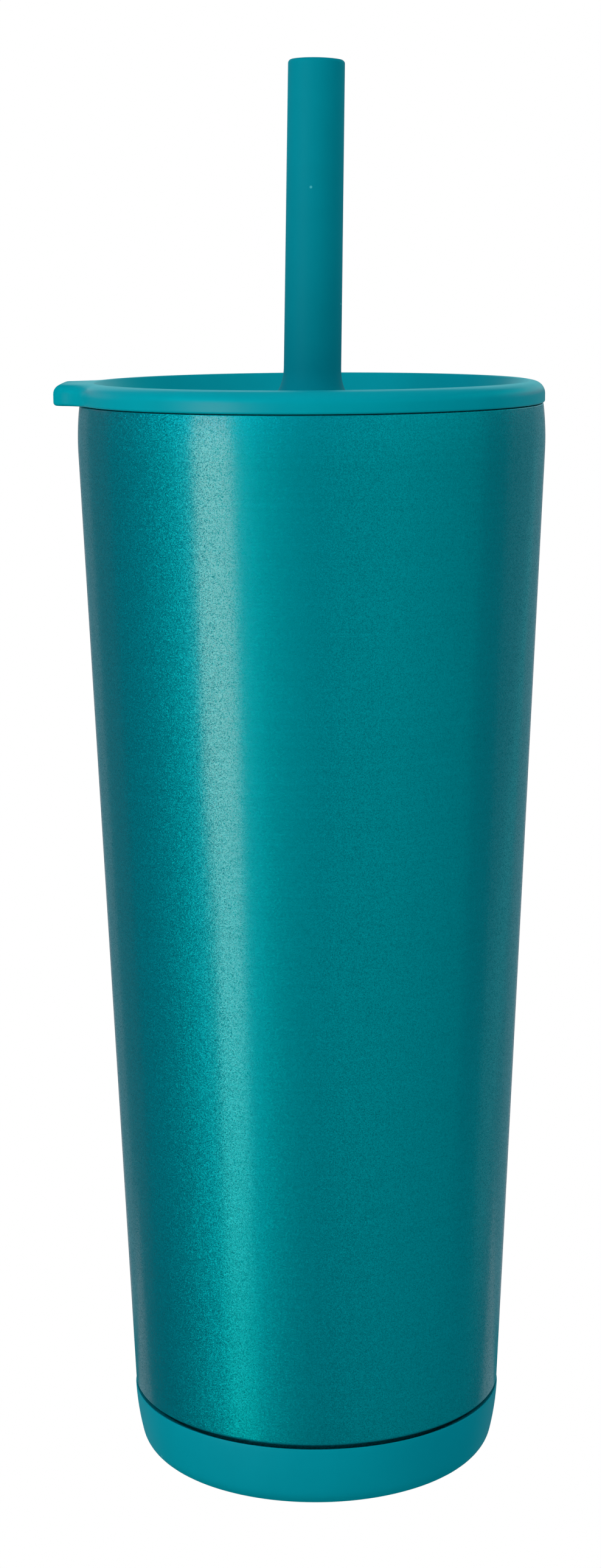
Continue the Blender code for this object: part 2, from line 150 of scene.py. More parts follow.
# Meshing: segments round a turned piece, longest edges along profiles, and the sharpest smooth corner.
ROUND = 256
RIM_STEPS = 220
TUBE_ROUND = 96
BODY_RUN = 6.0 * MM
LID_RUN = 5.0 * MM
BOOT_RUN = 4.0 * MM
TUBE_RUN = 2.5 * MM
DISH_RUN = 2.0 * MM
SPOUT_RUN = 1.5 * MM
SHARP = math.radians(40.0)
ON_AXIS = 1e-9


# ---------------------------------------------------------------- shapes

def arc(centre, radius, start, end, steps):
    """Points on a circle in the (radius, height) plane, from one angle to another in degrees."""
    angles = np.radians(np.linspace(start, end, steps + 1))
    return [(centre[0] + radius * math.cos(a), centre[1] + radius * math.sin(a)) for a in angles]


def rounded(corners, steps=5):
    """A closed outline of (radius, height, fillet) corners, each turned into an arc of that fillet."""
    line = []
    count = len(corners)
    for i, (x, y, fillet) in enumerate(corners):
        here = np.array((x, y))
        before = np.array(corners[i - 1][:2]) - here
        after = np.array(corners[(i + 1) % count][:2]) - here
        if fillet <= 0.0:
            line.append((x, y))
            continue
        before /= np.linalg.norm(before)
        after /= np.linalg.norm(after)
        half = math.acos(np.clip(before @ after, -1.0, 1.0)) / 2.0
        middle = (before + after) / np.linalg.norm(before + after)
        centre = here + middle * fillet / math.sin(half)
        start = here + before * fillet / math.tan(half) - centre
        end = here + after * fillet / math.tan(half) - centre
        turn = math.atan2(start[0] * end[1] - start[1] * end[0], start @ end)
        first = math.atan2(start[1], start[0])
        for k in range(steps + 1):
            a = first + turn * k / steps
            line.append((centre[0] + fillet * math.cos(a), centre[1] + fillet * math.sin(a)))
    return line


def refined(profile, longest, closed=True):
    """The same outline with its long straight runs divided."""
    line = []
    ends = profile[1:] + profile[:1] if closed else profile[1:]
    for (x0, y0), (x1, y1) in zip(profile, ends):
        parts = max(1, math.ceil(math.hypot(x1 - x0, y1 - y0) / longest))
        line += [(x0 + (x1 - x0) * k / parts, y0 + (y1 - y0) * k / parts) for k in range(parts)]
    return line if closed else line + [profile[-1]]


def finish_mesh(name, vertices, faces):
    """A smooth-shaded object from points and faces, with its sharp corners kept."""
    mesh = bpy.data.meshes.new(name)
    mesh.from_pydata(vertices, [], faces)
    mesh.validate()
    mesh.shade_smooth()
    mesh.set_sharp_from_angle(angle=SHARP)
    piece = bpy.data.objects.new(name, mesh)
    bpy.context.scene.collection.objects.link(piece)
    return piece


def lathe(name, profile, segments=ROUND):
    """Turns a profile of (radius, height) points. Ends on the axis become poles; else it is a ring."""
    closed = profile[0][0] > ON_AXIS
    vertices = []
    rings = []
    for radius, height in profile:
        if radius <= ON_AXIS:
            rings.append([len(vertices)] * segments)
            vertices.append((0.0, 0.0, height))
            continue
        rings.append(list(range(len(vertices), len(vertices) + segments)))
        for k in range(segments):
            a = math.tau * k / segments
            vertices.append((radius * math.cos(a), radius * math.sin(a), height))
    faces = []
    pairs = list(zip(rings, rings[1:]))
    if closed:
        pairs.append((rings[-1], rings[0]))
    for high, low in pairs:
        for k in range(segments):
            n = (k + 1) % segments
            face = [high[k], low[k], low[n], high[n]]
            faces.append(list(dict.fromkeys(face)))
    return finish_mesh(name, vertices, faces)


def shell_radius(height):
    """Outer radius of the painted wall at a height."""
    below = SEAM - WIDEST_DROP - height
    tangent = TAPER / (2.0 * CROWN)
    if below <= tangent:
        return BODY_RADIUS - CROWN * below**2
    return BODY_RADIUS - CROWN * tangent**2 - TAPER * (below - tangent)


def make_shell():
    """Painted outer wall: rounded lip edge, crown, cone, and the step that the boot fits into."""
    crown = list(np.linspace(SHELL_TOP - LIP_EDGE, SEAM - CROWN_DEPTH, 14))
    step = SHELL_FOOT
    foot = shell_radius(step) - BOOT_WALL - GAP
    lip = shell_radius(crown[0])
    outer = arc((lip - LIP_EDGE, crown[0]), LIP_EDGE, 90, 0, 5)[:-1]
    outer += [(shell_radius(height), height) for height in crown]
    roll = step + SHELL_ROLL
    outer += arc((shell_radius(roll) - SHELL_ROLL, roll), SHELL_ROLL, 0, -90, 8)
    outer += [(foot, step), (foot, SHELL_LOW.z)]
    inner = [
        (foot - STEEL, SHELL_LOW.z),
        (foot - STEEL, step + STEEL),
        (shell_radius(step) - STEEL, step + STEEL),
    ]
    inner += [(shell_radius(height) - STEEL, height) for height in reversed(crown)]
    inner += [(lip - STEEL, SHELL_TOP)]
    return lathe("shell_painted", refined(outer + inner, BODY_RUN))


def make_liner():
    """Bare steel vessel with a rolled lip."""
    lip = LINER_HIGH.z
    lip_centre = lip - LINER_LIP
    floor = LINER_LOW.z + STEEL
    corner = floor + LINER_CORNER
    neck = shell_radius(lip_centre) - DOUBLE_WALL
    low = shell_radius(corner) - DOUBLE_WALL
    cone = SEAM - WIDEST_DROP - TAPER / (2.0 * CROWN)
    mid = shell_radius(cone) - DOUBLE_WALL
    line = [(0.0, floor + LINER_DOME)]
    for radius in np.linspace(1.0 * MM, LINER_DOME_RADIUS, 12):
        share = math.cos(radius / LINER_DOME_RADIUS * math.pi / 2) ** 2
        line.append((radius, floor + LINER_DOME * share))
    line += arc((low - LINER_CORNER, corner), LINER_CORNER, -90, 0, 12)
    line += [(mid, cone)]
    line += arc((neck + LINER_LIP, lip_centre), LINER_LIP, 180, 90, 8)
    line += arc((LINER_HIGH.x - STEEL / 2, lip - STEEL / 2), STEEL / 2, 90, -90, 6)
    line += arc((neck + LINER_LIP, lip_centre), LINER_LIP - STEEL, 90, 180, 6)
    line += [(mid + STEEL, cone)]
    line += arc((low - LINER_CORNER, corner), LINER_CORNER + STEEL, 0, -90, 10)
    line += [(0.0, LINER_LOW.z)]
    return lathe("liner_steel", refined(line, BODY_RUN, closed=False))


def boot_radius(height):
    """Outer radius of the boot's side."""
    down = BOOT_HIGH.z - height
    return BOOT_HIGH.x - TAPER * down - BOOT_BULGE * down**2


def make_boot():
    """Soft boot: dipping top edge, side that curves in, round corner, and grip rings underneath."""
    inner = shell_radius(BOOT_HIGH.z + GAP) - BOOT_WALL
    line = [
        (0.0, BOOT_FLOOR),
        (inner - BOOT_INNER_CORNER, BOOT_FLOOR),
        (inner, BOOT_FLOOR + BOOT_INNER_CORNER),
        (inner, BOOT_TOP - BOOT_DIP),
    ]
    line += arc((boot_radius(BOOT_TOP) - BOOT_EDGE, BOOT_TOP - BOOT_EDGE), BOOT_EDGE, 110, 0, 6)

    # The side leans in more the lower it is, so where it runs into the corner is found by repeating.
    low = BOOT_CORNER
    for _ in range(9):
        lean_in = math.atan(TAPER + 2.0 * BOOT_BULGE * (BOOT_HIGH.z - low))
        low = BOOT_CORNER * (1.0 - math.sin(lean_in))
    line += [(boot_radius(height), height) for height in np.linspace(BOOT_TOP - BOOT_EDGE, low, 11)[1:-1]]
    middle = boot_radius(low) - BOOT_CORNER * math.cos(lean_in)
    line += arc((middle, BOOT_CORNER), BOOT_CORNER, -math.degrees(lean_in), -90, 12)
    for ring in GRIP_RINGS:
        line += [
            (ring + GRIP_HALF_WIDTH, 0.0),
            (ring + GRIP_HALF_FLOOR, GRIP_DEPTH),
            (ring - GRIP_HALF_FLOOR, GRIP_DEPTH),
            (ring - GRIP_HALF_WIDTH, 0.0),
        ]
    line += [(0.0, 0.0)]
    return lathe("boot_soft", refined(line, BOOT_RUN, closed=False))


def tab_half():
    """Half of the tab's plan on -X: a hollow curve from the rim, a round corner, and the straight end."""
    corner = np.array((TAB_CORNER - TAB_REACH, TAB_HALF_WIDTH - TAB_CORNER))
    span = np.linalg.norm(corner)
    ahead = corner / span

    # The hollow curve's centre is outside the rim by its radius, and as far from the tab's corner.
    from_rim = RIM_RADIUS + TAB_ROOT
    from_corner = TAB_CORNER + TAB_ROOT
    along = (from_rim**2 - from_corner**2 + span**2) / (2.0 * span)
    across = math.sqrt(from_rim**2 - along**2)
    root = ahead * along + np.array((ahead[1], -ahead[0])) * across
    to_corner = corner - root
    rim_end = math.degrees(math.atan2(-root[1], -root[0]))
    corner_end = math.degrees(math.atan2(to_corner[1], to_corner[0]))
    half = arc(root, TAB_ROOT, rim_end, corner_end, 20)
    half += arc(corner, TAB_CORNER, corner_end + 180.0, 180, 18)[1:]
    half += [(-TAB_REACH, corner[1] * k / 5) for k in (4, 3, 2, 1, 0)]
    return half


def cover_columns():
    """The lid's plan as points and outward normals, anticlockwise, with the tab at -X."""
    half = tab_half()
    other_half = [(x, -y) for x, y in reversed(half[:-1])]
    start = math.atan2(half[0][1], half[0][0])
    turns = np.linspace(-start, start, RIM_STEPS + 1)[1:-1]
    free = [(RIM_RADIUS * math.cos(a), RIM_RADIUS * math.sin(a)) for a in turns]
    plan = np.array(half + other_half + free)
    ahead = np.roll(plan, -1, axis=0) - np.roll(plan, 1, axis=0)
    normals = np.stack([ahead[:, 1], -ahead[:, 0]], axis=1)
    normals /= np.linalg.norm(normals, axis=1)[:, None]
    return plan, normals


def smooth(t):
    """Eases from 0 to 1."""
    t = np.clip(t, 0.0, 1.0)
    return t * t * (3.0 - 2.0 * t)


def make_cover():
    """Soft lid cover: rim, dish, skirt, straw hole and pull tab, as one sweep round the plan."""
    plan, normals = cover_columns()
    distance = np.linalg.norm(plan, axis=1)
    reach = smooth((distance - RIM_RADIUS) / (TAB_EASE * (TAB_REACH - RIM_RADIUS)))
    around = plan / distance[:, None]
    aside = np.abs(plan[:, 1]) / TAB_HALF_WIDTH
    rows = []

    def ring(points, heights):
        rows.append(np.column_stack([points, heights]))

    def turned(line):
        for radius, level in line:
            ring(around * radius, np.full(len(plan), level))

    # Outer face: a rounding that ends on the rim's slope, or on the tab's top.
    rounding = RIM_ROUNDING + (TAB_ROUNDING - RIM_ROUNDING) * reach
    tab_top = RIM_TOP - TAB_DROP * (1.0 + aside**2)
    rim_rise = SEAM + RIM_RISE
    rise = rim_rise + (tab_top - TAB_ROUNDING - rim_rise) * reach
    slope = math.radians(RIM_SLOPE)
    last = math.pi / 2.0 - slope * (1.0 - reach)
    shoulder = plan - normals * (rounding * (1.0 - np.cos(last)))[:, None]
    shoulder_level = rise + rounding * np.sin(last)
    fall = RIM_TOP - shoulder_level

    # From the crest outwards: a soft turn, then the slope down to the shoulder.
    bend = CREST_OUTER * math.sin(slope)
    dip = CREST_OUTER * (1.0 - math.cos(slope))
    rim_shoulder = RIM_RADIUS - RIM_ROUNDING * (1.0 - math.cos(math.pi / 2.0 - slope))
    rim_fall = RIM_TOP - rim_rise - RIM_ROUNDING * math.cos(slope)
    run = bend + (rim_fall - dip) / math.tan(slope)
    crest = rim_shoulder - run
    for t in np.linspace(0.0, 1.0, 11)[:-1]:
        out = t * run
        if out < bend:
            drop = CREST_OUTER - math.sqrt(CREST_OUTER**2 - out**2)
        else:
            drop = dip + (out - bend) * math.tan(slope)
        share = drop / rim_fall * (1.0 - reach) + t**1.5 * reach
        ring(around * crest * (1.0 - t) + shoulder * t, RIM_TOP - fall * share)
    for k in range(13):
        a = last * (1.0 - k / 12.0)
        ring(plan - normals * (rounding * (1.0 - np.cos(a)))[:, None], rise + rounding * np.sin(a))

    # Lower edge and underside.
    edge = RIM_EDGE + (TAB_EDGE - RIM_EDGE) * reach
    for k in range(7):
        a = math.pi / 2.0 * k / 6.0
        ring(plan - normals * (edge * (1.0 - math.cos(a)))[:, None], SEAM_LINE + edge * (1.0 - math.sin(a)))
    turned([(COVER_SKIRT + SKIRT_STEP, SEAM_LINE)])

    # Skirt, straw hole, and the dish up to the crest again. The last two corners only close the outline
    # while its corners are rounded, and are dropped.
    inner = COVER_SKIRT - WEB
    floor = SEAM + DISH_FLOOR
    halfway = 0.5 * (STRAW_HOLE + inner)
    skirt = [
        (COVER_SKIRT, SEAM_LINE, SOFT_EDGE),
        (COVER_SKIRT, COVER_LOW.z, SKIRT_EDGE),
        (inner, COVER_LOW.z, SKIRT_EDGE),
        (inner, floor - WEB, SKIRT_CORNER),
        (STRAW_HOLE, floor - WEB, SOFT_EDGE),
        (STRAW_HOLE, floor, SOFT_EDGE),
        (halfway, floor, 0.0),
        (halfway, SEAM_LINE, 0.0),
    ]
    turned(refined(rounded(skirt)[:-2], LID_RUN, closed=False))
    wall = math.radians(DISH_SLOPE)
    crest_centre = (crest, RIM_TOP - CREST_INNER)
    top = (crest - CREST_INNER * math.sin(wall), crest_centre[1] + CREST_INNER * math.cos(wall))
    corner_level = floor + DISH_CORNER * (1.0 - math.cos(wall))
    foot = top[0] - (top[1] - corner_level) / math.tan(wall)
    corner = (foot - DISH_CORNER * math.sin(wall), floor + DISH_CORNER)
    dish = [(halfway, floor)]
    dish += arc(corner, DISH_CORNER, -90.0, DISH_SLOPE - 90.0, 8)
    dish += arc(crest_centre, CREST_INNER, 90.0 + DISH_SLOPE, 90.0, 8)[:-1]
    turned(refined(dish, DISH_RUN, closed=False))

    count = len(plan)
    faces = []
    for row in range(len(rows)):
        here = row * count
        after = ((row + 1) % len(rows)) * count
        for k in range(count):
            n = (k + 1) % count
            faces.append((here + k, after + k, after + n, here + n))
    return finish_mesh("lid_cover_soft", np.concatenate(rows).tolist(), faces)


def make_plug():
    """Stiff plug with a gasket groove and softened edges."""
    wide, top, low = PLUG_HIGH.x, PLUG_HIGH.z, PLUG_LOW.z
    groove = wide - GROOVE_DEPTH
    inner = PLUG_NECK - PLUG_WALL
    corners = [
        (PLUG_NECK, top, PLUG_EDGE),
        (PLUG_NECK, PLUG_SHOULDER, SOFT_EDGE),
        (wide, PLUG_SHOULDER, PLUG_EDGE),
        (wide, PLUG_SHOULDER - PLUG_FLANGE, PLUG_EDGE),
        (groove, PLUG_SHOULDER - PLUG_FLANGE, SOFT_EDGE),
        (groove, low + PLUG_FLANGE, SOFT_EDGE),
        (wide, low + PLUG_FLANGE, PLUG_EDGE),
        (wide, low, PLUG_FOOT_EDGE),
        (inner, low, PLUG_FOOT_EDGE),
        (inner, top - PLUG_FLANGE, PLUG_INNER_CORNER),
        (STRAW_HOLE, top - PLUG_FLANGE, PLUG_EDGE),
        (STRAW_HOLE, top, PLUG_EDGE),
    ]
    return lathe("lid_plug", refined(rounded(corners), LID_RUN))


def make_gasket():
    """Sealing ring with two soft fins."""
    top, low = GASKET_HIGH.z, GASKET_LOW.z
    inner = GASKET_HIGH.x - GASKET_DEPTH
    body = inner + GASKET_BAND
    fin = (top - low) / 4.0
    corners = [(body, top, GASKET_EDGE)]
    for middle in (top - fin, low + fin):
        corners += [
            (body, middle + fin / 2.0, GASKET_EDGE),
            (GASKET_HIGH.x, middle + fin / 5.0, SOFT_EDGE),
            (GASKET_HIGH.x, middle - fin / 5.0, SOFT_EDGE),
            (body, middle - fin / 2.0, GASKET_EDGE),
        ]
    corners += [(body, low, GASKET_EDGE), (inner, low, GASKET_EDGE), (inner, top, GASKET_EDGE)]
    return lathe("gasket_ring", rounded(corners, 3))


def lean(piece):
    """Leans a straw piece towards +X above the dish, and leaves its foot centred."""
    for vertex in piece.data.vertices:
        up = max(0.0, vertex.co.z - SPOUT_LOW.z)
        vertex.co.x += LEAN * up + LEAN_START * float(smooth(up / LEAN_EASE))


def make_spout():
    """Soft mouth tube with a rounded tip, a flared foot and a socket for the stiff tube."""
    foot, tip = SPOUT_LOW.z, SPOUT_HIGH.z
    flare = SPOUT_HIGH.x
    reach = flare - SPOUT_LOW_RADIUS
    line = arc((SPOUT_TOP_RADIUS - SPOUT_EDGE, tip - SPOUT_EDGE), SPOUT_EDGE, 90, 0, 8)
    line += [
        (flare - reach * math.sin(a), foot + FLARE_LIFT + 2.0 * reach * (1.0 - math.cos(a)))
        for a in np.linspace(math.pi / 2.0, 0.0, 15)
    ]
    socket = TUBE_HIGH.x + GAP
    line += [(flare - 0.5 * SOFT_EDGE, foot), (socket + SOFT_EDGE, foot), (socket, foot + SOFT_EDGE)]
    line += [(socket, foot + SOCKET_DEPTH), (BORE_RADIUS, foot + SOCKET_DEPTH)]
    line += arc((BORE_RADIUS + TIP_INNER_EDGE, tip - TIP_INNER_EDGE), TIP_INNER_EDGE, 180, 90, 5)
    piece = lathe("spout_soft", refined(line, SPOUT_RUN), TUBE_ROUND)

    # The tip is cut a little askew, and sags to its sides.
    for vertex in piece.data.vertices:
        near = float(smooth((vertex.co.z - tip + TIP_DEPTH) / TIP_DEPTH))
        place = vertex.co.x / SPOUT_TOP_RADIUS
        vertex.co.z -= near * (TIP_DROP + TIP_SINK * (place - TIP_PEAK) ** 2)
    lean(piece)
    return piece


def make_tube():
    """Stiff tube with rounded ends."""
    radius, top, low = TUBE_HIGH.x, TUBE_HIGH.z, TUBE_LOW.z
    corners = [
        (radius, top, TUBE_EDGE),
        (radius, low, TUBE_EDGE),
        (BORE_RADIUS, low, TUBE_EDGE),
        (BORE_RADIUS, top, TUBE_EDGE),
    ]
    piece = lathe("tube_stiff", refined(rounded(corners), TUBE_RUN), TUBE_ROUND)
    lean(piece)
    return piece


def cut_notches(tube):
    """Cuts a slot across the tube's lower end, so that it can't seal against the floor."""
    block = bmesh.new()
    bmesh.ops.create_cube(block, size=1.0)
    bmesh.ops.scale(block, vec=NOTCH_SIZE, verts=block.verts)
    bmesh.ops.translate(block, vec=(0.0, 0.0, TUBE_LOW.z), verts=block.verts)
    mesh = bpy.data.meshes.new("notch")
    block.to_mesh(mesh)
    block.free()
    notch = bpy.data.objects.new("notch", mesh)
    bpy.context.scene.collection.objects.link(notch)
    cut = tube.modifiers.new("notch", "BOOLEAN")
    cut.operation = "DIFFERENCE"
    cut.solver = "EXACT"
    cut.object = notch
    bpy.context.view_layer.update()
    graph = bpy.context.evaluated_depsgraph_get()
    settled = bpy.data.meshes.new_from_object(tube.evaluated_get(graph))
    tube.modifiers.clear()
    tube.data = settled
    bpy.data.objects.remove(notch)


# ---------------------------------------------------------------- materials

# Colours are linear red, green and blue.
BOOT_TEAL = (0.0, 0.303, 0.372)
LID_TEAL = (0.0, 0.345, 0.402)
SPOUT_TEAL = (0.0, 0.232, 0.284)
PLUG_TEAL = (0.01, 0.20, 0.24)
TUBE_TEAL = (0.01, 0.22, 0.27)
FROSTED = (0.62, 0.66, 0.66)
DUST = (0.45, 0.65, 0.66)
STEEL_GREY = (0.60, 0.60, 0.59)
FOIL_COPPER = (0.72, 0.42, 0.28)
GETTER_GREY = (0.20, 0.20, 0.21)
SOLDER_GREY = (0.55, 0.55, 0.57)
ADHESIVE_CREAM = (0.75, 0.73, 0.66)

# The paint's flakes and turning lines are scales per metre. Each flake has a chance from 0 to 1, which sets
# its tone and how much clear coat lies over it: none below the first chance, and all above the second.
PAINT = {
    "tint": (0.0, 0.313, 0.354),
    "roughness": 0.46,
    "coat_chance": (0.1, 0.5),
    "coat_ior": 1.6,
    "coat_roughness": 0.17,
    "flakes": 8500.0,
    "tone": 0.19,
    "tilt": 0.34,
    "coat_tilt": 0.04,
    "lines": (6.0, 6.0, 1500.0),
}

# Silicone: the scales of its mottling, its fine skin and the cells that may hold a speck of dust, the sizes
# of a speck's core and edge in a cell, and how strong the dust is.
SKIN = {
    "mottling": 90.0,
    "fine": 2600.0,
    "bump": 0.08,
    "cells": 380.0,
    "core": 0.04,
    "edge": 0.12,
    "dust": 0.7,
}
# Faint changes of tone, the range that noise mostly keeps to, and the depths of fine bumps and of creases.
FAINT = (0.97, 1.03)
NOISE_RANGE = (0.3, 0.7)
BUMP_DEPTH = 0.1 * MM
CREASE_DEPTH = 0.2 * MM

# The spout's colour is painted paler from its foot to its tip: a painted shade, darker near the lid. RINGS
# and GRAIN are the scales of fine lines and grain.
SPOUT_PAINTED_SHADE = (SPOUT_LOW.z, SPOUT_HIGH.z, 1.0, 1.17)
RINGS = (8.0, 8.0, 2600.0)
GRAIN = 900.0


def colour(r, g, b):
    return (r, g, b, 1.0)


class Nodes:
    """A material's node tree, with short calls to add nodes and join them."""

    def __init__(self, name):
        self.material = bpy.data.materials.new(name)
        self.material.use_nodes = True
        self.tree = self.material.node_tree
        self.shader = self.tree.nodes["Principled BSDF"]

    def add(self, kind, inputs=None, **settings):
        node = self.tree.nodes.new("ShaderNode" + kind)
        for key, value in settings.items():
            setattr(node, key, value)
        for key, value in (inputs or {}).items():
            self.put(node.inputs[key], value)
        return node

    def put(self, socket, value):
        if isinstance(value, bpy.types.NodeSocket):
            self.tree.links.new(value, socket)
        else:
            socket.default_value = value

    def set(self, **inputs):
        for key, value in inputs.items():
            self.put(self.shader.inputs[key.replace("_", " ")], value)

    def place(self, scale=(1.0, 1.0, 1.0)):
        where = self.add("TexCoord").outputs["Object"]
        return self.add("Mapping", {"Vector": where, "Scale": scale}).outputs[0]

    def noise(self, vector, scale, detail, rough=0.6):
        inputs = {"Vector": vector, "Scale": scale, "Detail": detail, "Roughness": rough}
        return self.add("TexNoise", inputs).outputs[0]

    def math(self, operation, a, b):
        return self.add("Math", {0: a, 1: b}, operation=operation).outputs[0]

    def vector(self, operation, a, b=None):
        inputs = {0: a} if b is None else {0: a, 1: b}
        return self.add("VectorMath", inputs, operation=operation).outputs[0]

    def ranged(self, value, low, high, to_low=0.0, to_high=1.0):
        inputs = {"Value": value, "From Min": low, "From Max": high, "To Min": to_low, "To Max": to_high}
        return self.add("MapRange", inputs).outputs[0]

    def spread(self, noise, low, high):
        """Stretches the range that noise mostly keeps to."""
        return self.ranged(noise, *NOISE_RANGE, low, high)

    def mix(self, share, a, b, blend="MIX"):
        node = self.add("Mix", data_type="RGBA", blend_type=blend)
        self.put(node.inputs[0], share)
        self.put(node.inputs[6], a)
        self.put(node.inputs[7], b)
        return node.outputs[2]

    def toned(self, tint, tone):
        """A colour made lighter or darker by a tone."""
        grey = self.add("CombineColor", {0: tone, 1: tone, 2: tone}).outputs[0]
        return self.mix(1.0, colour(*tint), grey, "MULTIPLY")

    def bump(self, height, strength, distance=BUMP_DEPTH):
        inputs = {"Height": height, "Strength": strength, "Distance": distance}
        return self.add("Bump", inputs).outputs[0]


def paint():
    """Satin teal paint with fine metal flakes, over a wall with faint turning lines."""
    m = Nodes("painted_steel")
    cells = m.add("TexVoronoi", {"Vector": m.place(), "Scale": PAINT["flakes"]})
    flake = m.add("TexWhiteNoise", {"Vector": cells.outputs["Position"]})
    chance = flake.outputs["Value"]
    tone = m.ranged(chance, 0.0, 1.0, 1.0 - PAINT["tone"], 1.0 + PAINT["tone"])
    line_tone = m.spread(m.noise(m.place(PAINT["lines"]), 1.0, 3.0), *FAINT)
    wall = m.add("NewGeometry").outputs["Normal"]
    way = m.vector("SUBTRACT", flake.outputs["Color"], (0.5, 0.5, 0.5))

    def tilted(amount):
        off = m.add("VectorMath", {0: way, "Scale": amount}, operation="SCALE").outputs[0]
        return m.vector("NORMALIZE", m.vector("ADD", wall, off))

    m.set(
        Base_Color=m.toned(PAINT["tint"], m.math("MULTIPLY", tone, line_tone)),
        Metallic=1.0,
        Roughness=PAINT["roughness"],
        Normal=tilted(PAINT["tilt"]),
        Coat_Weight=m.math("MULTIPLY", m.ranged(chance, *PAINT["coat_chance"]), line_tone),
        Coat_Roughness=PAINT["coat_roughness"],
        Coat_IOR=PAINT["coat_ior"],
        Coat_Normal=tilted(PAINT["coat_tilt"]),
    )
    return m.material


def silicone(name, tint, rough, specular, speck_share=0.02, rise=None, matt=None):
    """Matt or satin silicone: faint mottling, a very fine skin and a few specks of dust.

    rise paints a shade into it, darker at the foot and paler upwards, and matt takes its gloss away towards
    -X.
    """
    m = Nodes(name)
    where = m.place()
    along, _, height = m.add("SeparateXYZ", {0: where}).outputs
    mottling = m.spread(m.noise(where, SKIN["mottling"], 3.0), *FAINT)
    # rise multiplies a painted shade into the tone: darker towards the foot, paler towards the top.
    if rise:
        mottling = m.math("MULTIPLY", mottling, m.ranged(height, *rise))
    if matt:
        specular = m.ranged(along, *matt, 0.0, specular)
    cells = m.add("TexVoronoi", {"Vector": where, "Scale": SKIN["cells"]})
    pick = m.add("SeparateColor", {"Color": cells.outputs["Color"]}).outputs[0]
    near = m.ranged(cells.outputs["Distance"], SKIN["core"], SKIN["edge"], 1.0, 0.0)
    speck = m.math("MULTIPLY", m.math("LESS_THAN", pick, speck_share), near)
    m.set(
        Base_Color=m.mix(m.math("MULTIPLY", speck, SKIN["dust"]), m.toned(tint, mottling), colour(*DUST)),
        Roughness=m.ranged(mottling, *FAINT, rough - 0.02, rough + 0.02),
        Specular_IOR_Level=specular,
        Normal=m.bump(m.noise(where, SKIN["fine"], 2.0), SKIN["bump"]),
    )
    return m.material


def steel(name, scale, rough):
    """Bare steel with fine lines along the way that the scale is small."""
    m = Nodes(name)
    lines = m.noise(m.place(scale), 1.0, 4.0, 0.7)
    m.set(
        Base_Color=m.toned(STEEL_GREY, m.ranged(lines, 0.25, 0.75, 0.86, 1.1)),
        Metallic=1.0,
        Roughness=m.spread(lines, rough - 0.06, rough + 0.08),
        Normal=m.bump(lines, 0.12),
    )
    return m.material


def plastic(name, tint, rough):
    """Stiff plastic with a fine moulded grain."""
    m = Nodes(name)
    grain = m.noise(m.place(), GRAIN, 3.0)
    m.set(
        Base_Color=m.toned(tint, m.spread(grain, 0.94, 1.06)),
        Roughness=m.spread(grain, rough - 0.04, rough + 0.04),
        Normal=m.bump(grain, 0.05),
    )
    return m.material


def rough_metal(name, tint, rough, metallic, scale):
    """Dull or crumpled metal, for the small pieces between the walls."""
    m = Nodes(name)
    creases = m.noise(m.place(), scale, 5.0)
    m.set(
        Base_Color=m.toned(tint, m.spread(creases, 0.8, 1.15)),
        Metallic=metallic,
        Roughness=m.spread(creases, rough - 0.08, rough + 0.1),
        Normal=m.bump(creases, 0.3, CREASE_DEPTH),
    )
    return m.material


# ---------------------------------------------------------------- stage

CAMERA = Vector((0.0, -0.5045, SEAM + 0.0243))
PITCH = math.radians(10.56)
YAW = -0.0047
ROLL = -0.0061
LENS = 63.89
SENSOR = 36.0
NEAREST = 0.01


def make_camera():
    """The photograph's viewpoint: half a metre away, a little above the lid, looking down."""
    level = math.cos(PITCH)
    forward = Vector((math.sin(YAW) * level, math.cos(YAW) * level, -math.sin(PITCH)))
    side = Vector((math.cos(YAW), -math.sin(YAW), 0.0))
    up = side.cross(forward)
    right = side * math.cos(ROLL) + up * math.sin(ROLL)
    top = up * math.cos(ROLL) - side * math.sin(ROLL)
    data = bpy.data.cameras.new("camera")
    data.lens = LENS
    data.sensor_width = SENSOR
    data.clip_start = NEAREST
    camera = bpy.data.objects.new("camera", data)
    bpy.context.scene.collection.objects.link(camera)
    camera.matrix_world = Matrix(
        (
            (right.x, top.x, -forward.x, CAMERA.x),
            (right.y, top.y, -forward.y, CAMERA.y),
            (right.z, top.z, -forward.z, CAMERA.z),
            (0.0, 0.0, 0.0, 1.0),
        )
    )
    bpy.context.scene.camera = camera


# Every softbox stands this far from a point in the middle of the cup, and faces it.
AIM = Vector((0.0, 0.0, 0.1))
REACH = 1.0

